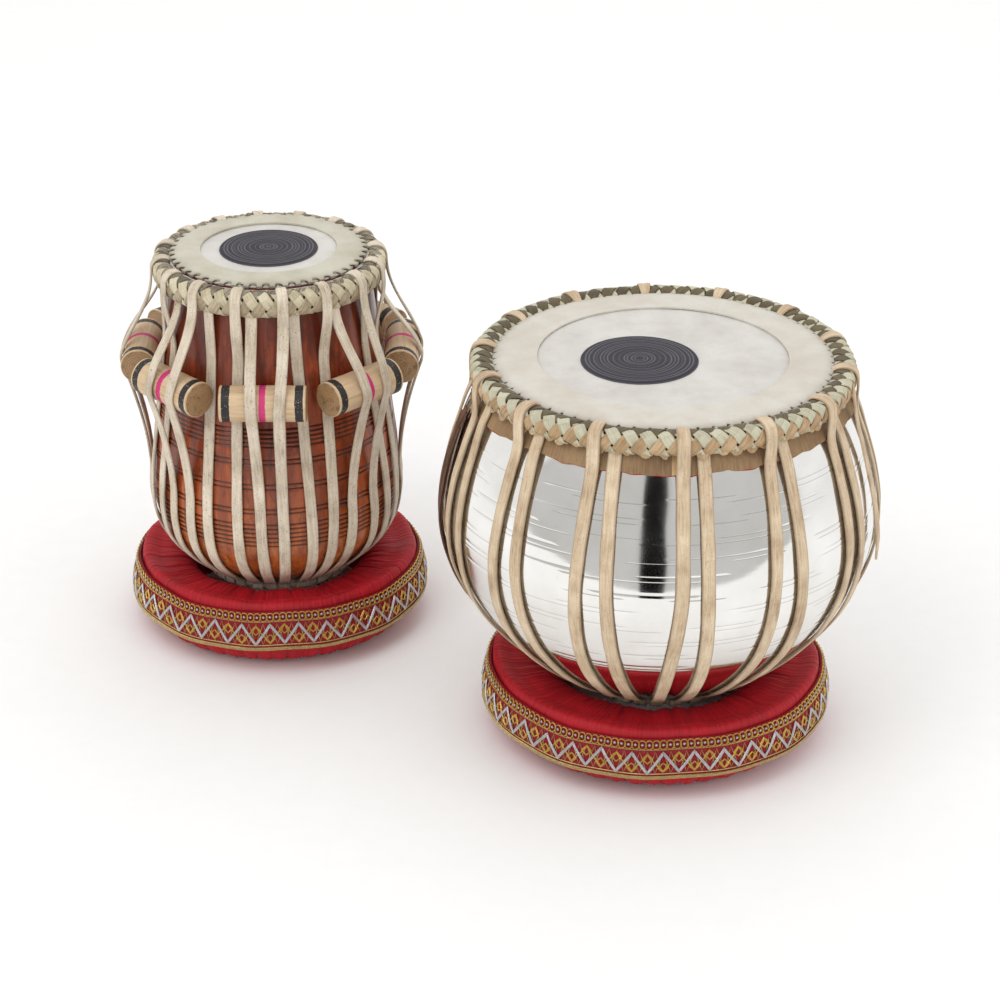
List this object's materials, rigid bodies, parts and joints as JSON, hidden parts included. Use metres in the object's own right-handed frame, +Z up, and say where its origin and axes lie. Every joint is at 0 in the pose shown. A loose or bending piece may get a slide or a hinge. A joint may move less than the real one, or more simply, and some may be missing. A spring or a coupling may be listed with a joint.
{
  "type": "tabla",
  "caption": "Tabla pair: a slim wooden drum tuned by dowels under rawhide lacing and a round-bellied plated metal drum, each lifting off a ring cushion.",
  "frame": {"origin": "on the floor, in the middle of the footprint of both drums and their cushions, measured without the loose end of thong", "axes": "+Z up; +X from the small drum towards the large drum, along the width; +Y away from the player; the large drum stands nearer the player"},
  "size_m": [0.54, 0.428, 0.2926],
  "materials": {
    "red_cloth": "gathered satin-weave cotton",
    "ribbon": "metallic woven ribbon",
    "skin": "scraped goatskin, matt",
    "rim_skin": "scraped goatskin, matt",
    "tuning_patch": "burnished iron-powder paste",
    "braid": "woven rawhide strips",
    "base_ring": "twisted rawhide",
    "turned_wood": "stained and varnished hardwood",
    "plated_metal": "bright nickel plating",
    "dark_thong": "dark rawhide thong",
    "thong": "rawhide thong",
    "dowel_wood": "turned softwood with painted bands"
  },
  "bodies": {
    "cushions": {"dayan_cushion": "red_cloth", "dayan_cushion_ribbon": "ribbon", "bayan_cushion": "red_cloth", "bayan_cushion_ribbon": "ribbon"},
    "dayan": {"dayan_shell": "turned_wood", "dayan_under_ring_skin": "skin", "dayan_playing_skin": "skin", "dayan_rim_skin": "rim_skin", "dayan_syahi": "tuning_patch", "dayan_braid": "braid", "dayan_base_ring": "base_ring", "dayan_thong_loop_1": "thong", "dayan_thong_loop_2": "thong", "dayan_thong_loop_3": "thong", "dayan_thong_loop_4": "thong", "dayan_thong_loop_5": "thong", "dayan_thong_loop_6": "thong", "dayan_thong_loop_7": "thong", "dayan_thong_loop_8": "thong", "dayan_thong_loop_9": "thong", "dayan_thong_loop_10": "thong", "dayan_thong_loop_11": "thong", "dayan_thong_loop_12": "thong", "dayan_thong_loop_13": "thong", "dayan_thong_loop_14": "thong", "dayan_thong_loop_15": "thong", "dayan_thong_loop_16": "thong"},
    "bayan": {"bayan_shell": "plated_metal", "bayan_under_ring_skin": "skin", "bayan_playing_skin": "skin", "bayan_rim_skin": "rim_skin", "bayan_syahi": "tuning_patch", "bayan_braid": "braid", "bayan_collar": "rim_skin", "bayan_base_ring": "base_ring", "bayan_spare_thong": "dark_thong", "bayan_loose_thong_end": "thong", "bayan_thong_loop_1": "thong", "bayan_thong_loop_2": "thong", "bayan_thong_loop_3": "thong", "bayan_thong_loop_4": "thong", "bayan_thong_loop_5": "thong", "bayan_thong_loop_6": "thong", "bayan_thong_loop_7": "thong", "bayan_thong_loop_8": "thong", "bayan_thong_loop_9": "thong", "bayan_thong_loop_10": "thong", "bayan_thong_loop_11": "thong", "bayan_thong_loop_12": "thong", "bayan_thong_loop_13": "thong", "bayan_thong_loop_14": "thong"},
    "gatta_1": {"gatta_1": "dowel_wood"},
    "gatta_2": {"gatta_2": "dowel_wood"},
    "gatta_3": {"gatta_3": "dowel_wood"},
    "gatta_4": {"gatta_4": "dowel_wood"},
    "gatta_5": {"gatta_5": "dowel_wood"},
    "gatta_6": {"gatta_6": "dowel_wood"},
    "gatta_7": {"gatta_7": "dowel_wood"},
    "gatta_8": {"gatta_8": "dowel_wood"}
  },
  "joints": [
    {"name": "dayan_lift", "type": "slide", "parent": "cushions", "child": "dayan", "axis": [0, 0, 1], "range_m": [0, 0.3]},
    {"name": "bayan_lift", "type": "slide", "parent": "cushions", "child": "bayan", "axis": [0, 0, 1], "range_m": [0, 0.3]},
    {"name": "gatta_1_slide", "type": "slide", "parent": "dayan", "child": "gatta_1", "axis": [0, 0.1289, 0.9917], "range_m": [-0.015, 0.018], "deforming": ["dayan_thong_loop_1", "dayan_thong_loop_2"]},
    {"name": "gatta_2_slide", "type": "slide", "parent": "dayan", "child": "gatta_2", "axis": [-0.0912, 0.0912, 0.9917], "range_m": [-0.015, 0.018], "deforming": ["dayan_thong_loop_3", "dayan_thong_loop_4"]},
    {"name": "gatta_3_slide", "type": "slide", "parent": "dayan", "child": "gatta_3", "axis": [-0.1289, 0, 0.9917], "range_m": [-0.015, 0.018], "deforming": ["dayan_thong_loop_5", "dayan_thong_loop_6"]},
    {"name": "gatta_4_slide", "type": "slide", "parent": "dayan", "child": "gatta_4", "axis": [-0.0912, -0.0912, 0.9917], "range_m": [-0.015, 0.018], "deforming": ["dayan_thong_loop_7", "dayan_thong_loop_8"]},
    {"name": "gatta_5_slide", "type": "slide", "parent": "dayan", "child": "gatta_5", "axis": [0, -0.1289, 0.9917], "range_m": [-0.015, 0.018], "deforming": ["dayan_thong_loop_9", "dayan_thong_loop_10"]},
    {"name": "gatta_6_slide", "type": "slide", "parent": "dayan", "child": "gatta_6", "axis": [0.0912, -0.0912, 0.9917], "range_m": [-0.015, 0.018], "deforming": ["dayan_thong_loop_11", "dayan_thong_loop_12"]},
    {"name": "gatta_7_slide", "type": "slide", "parent": "dayan", "child": "gatta_7", "axis": [0.1289, 0, 0.9917], "range_m": [-0.015, 0.018], "deforming": ["dayan_thong_loop_13", "dayan_thong_loop_14"]},
    {"name": "gatta_8_slide", "type": "slide", "parent": "dayan", "child": "gatta_8", "axis": [0.0912, 0.0912, 0.9917], "range_m": [-0.015, 0.018], "deforming": ["dayan_thong_loop_15", "dayan_thong_loop_16"]}
  ]
}
